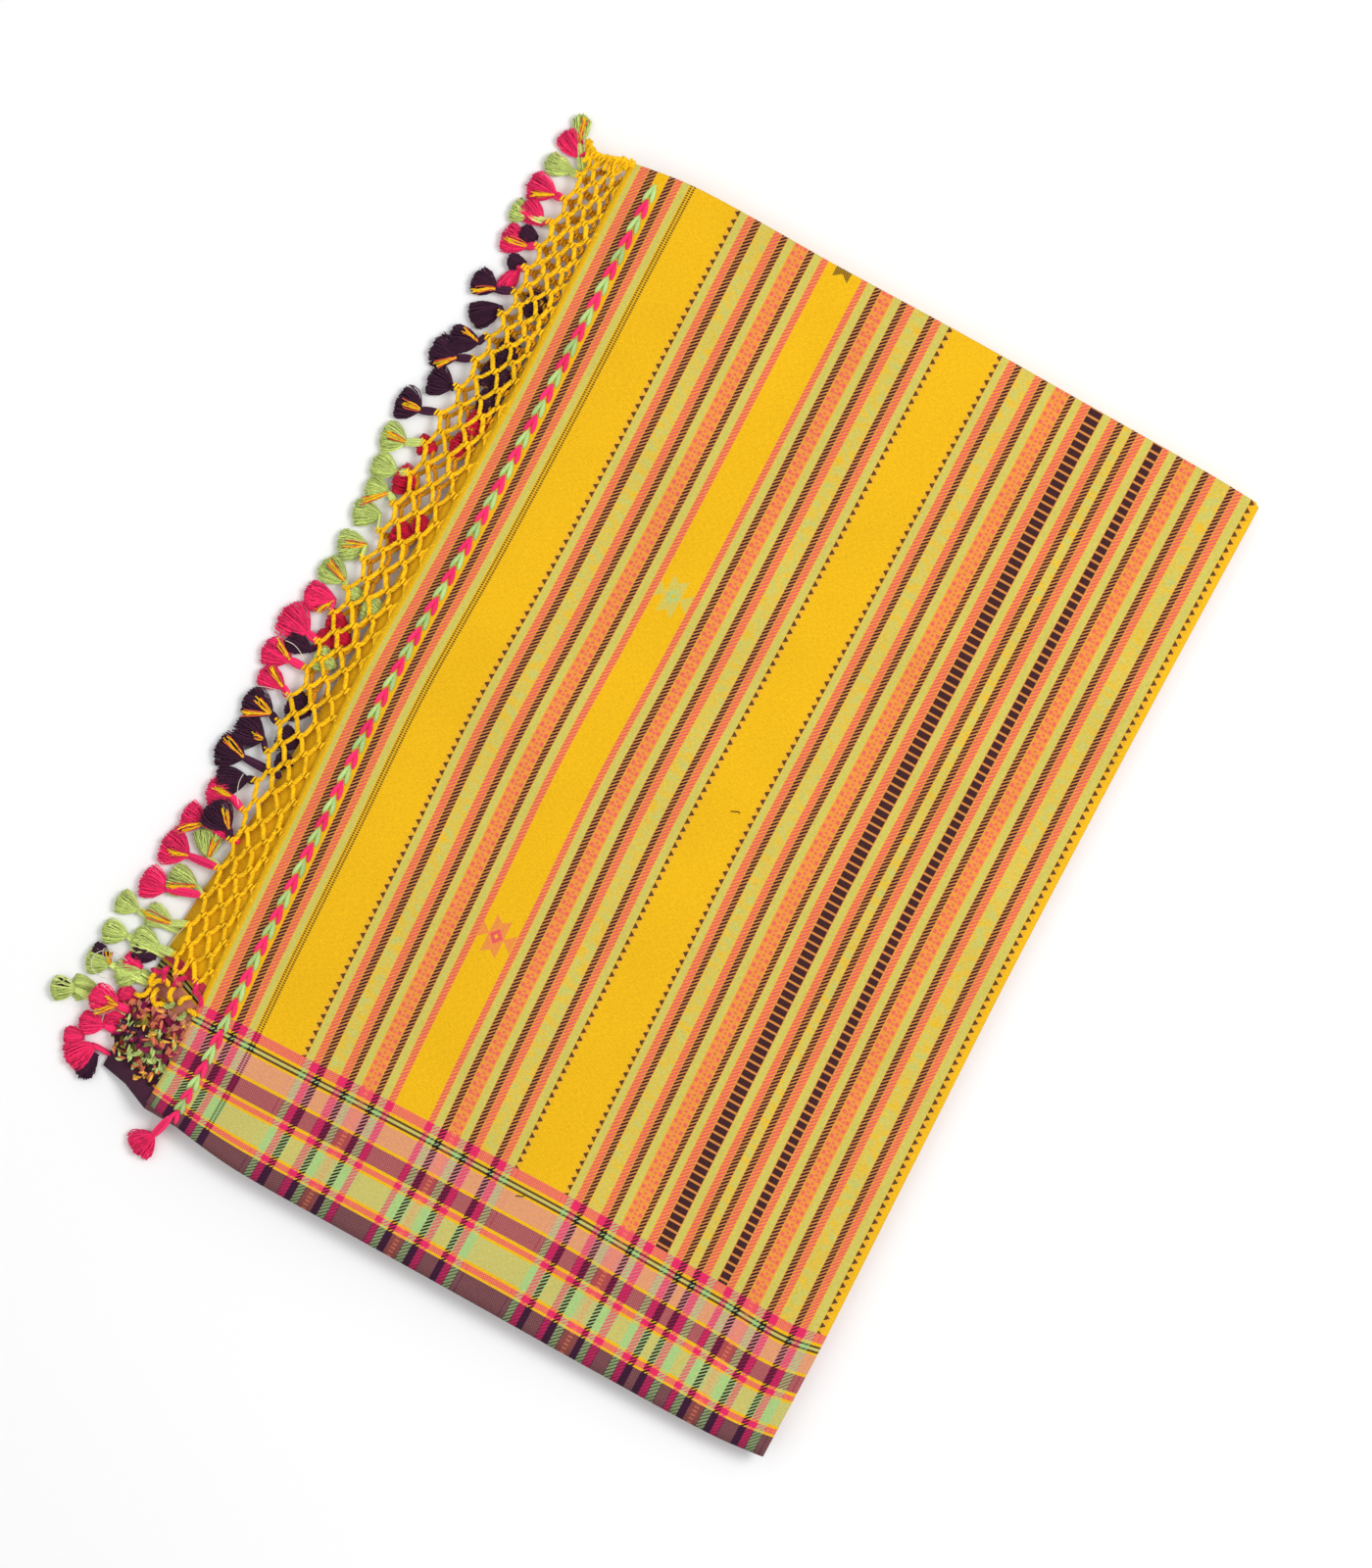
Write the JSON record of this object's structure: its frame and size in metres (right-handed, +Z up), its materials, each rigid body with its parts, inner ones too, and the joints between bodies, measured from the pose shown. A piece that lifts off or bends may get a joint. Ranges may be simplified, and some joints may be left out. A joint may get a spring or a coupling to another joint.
{
  "type": "folded saree",
  "caption": "Handwoven striped saree folded flat, with a plaid selvedge border and a knotted net end with yarn tassels.",
  "frame": {"origin": "on the table, under the middle of the whole folded saree, tassels included", "axes": "+X along the cloth from the knotted end to the right fold, +Y across it from the selvedges to the fold at the top, +Z up"},
  "size_m": [0.4562, 0.6068, 0.0179],
  "materials": {
    "striped_cloth": "matt plain-weave cotton with twill, dotted and block stripes",
    "folded_cloth": "matt plain-weave cotton, folded edges",
    "net_cord": "twisted cotton cord",
    "braid_yarn": "soft leaf stitches in pink and pale green yarn",
    "pink_tassel": "soft unspun-looking cotton threads",
    "purple_tassel": "soft unspun-looking cotton threads",
    "green_tassel": "soft unspun-looking cotton threads"
  },
  "bodies": {
    "root": {"top_layer": "striped_cloth", "under_layer": "striped_cloth", "hidden_layers": "folded_cloth", "top_net": "net_cord", "under_net": "net_cord", "leaf_braid": "braid_yarn", "tassel_01": "pink_tassel", "tassel_02": "green_tassel", "tassel_03": "pink_tassel", "tassel_04": "pink_tassel", "tassel_05": "pink_tassel", "tassel_06": "pink_tassel", "tassel_07": "purple_tassel", "tassel_08": "purple_tassel", "tassel_09": "purple_tassel", "tassel_10": "purple_tassel", "tassel_11": "purple_tassel", "tassel_12": "purple_tassel", "tassel_13": "green_tassel", "tassel_14": "green_tassel", "tassel_15": "green_tassel", "tassel_16": "green_tassel", "tassel_17": "green_tassel", "tassel_18": "pink_tassel", "tassel_19": "pink_tassel", "tassel_20": "pink_tassel", "tassel_21": "pink_tassel", "tassel_22": "purple_tassel", "tassel_23": "purple_tassel", "tassel_24": "purple_tassel", "tassel_25": "pink_tassel", "tassel_26": "purple_tassel", "tassel_27": "green_tassel", "tassel_28": "pink_tassel", "tassel_29": "green_tassel", "tassel_30": "pink_tassel", "tassel_31": "green_tassel", "tassel_32": "green_tassel", "tassel_33": "green_tassel", "tassel_34": "pink_tassel", "tassel_35": "pink_tassel", "tassel_36": "green_tassel", "tassel_37": "green_tassel", "tassel_38": "green_tassel", "tassel_39": "purple_tassel", "tassel_40": "purple_tassel", "tassel_41": "pink_tassel", "tassel_42": "green_tassel", "tassel_43": "green_tassel", "tassel_44": "green_tassel", "tassel_45": "green_tassel", "tassel_46": "green_tassel", "tassel_47": "pink_tassel", "selvedge_tassel": "pink_tassel"}
  },
  "joints": []
}
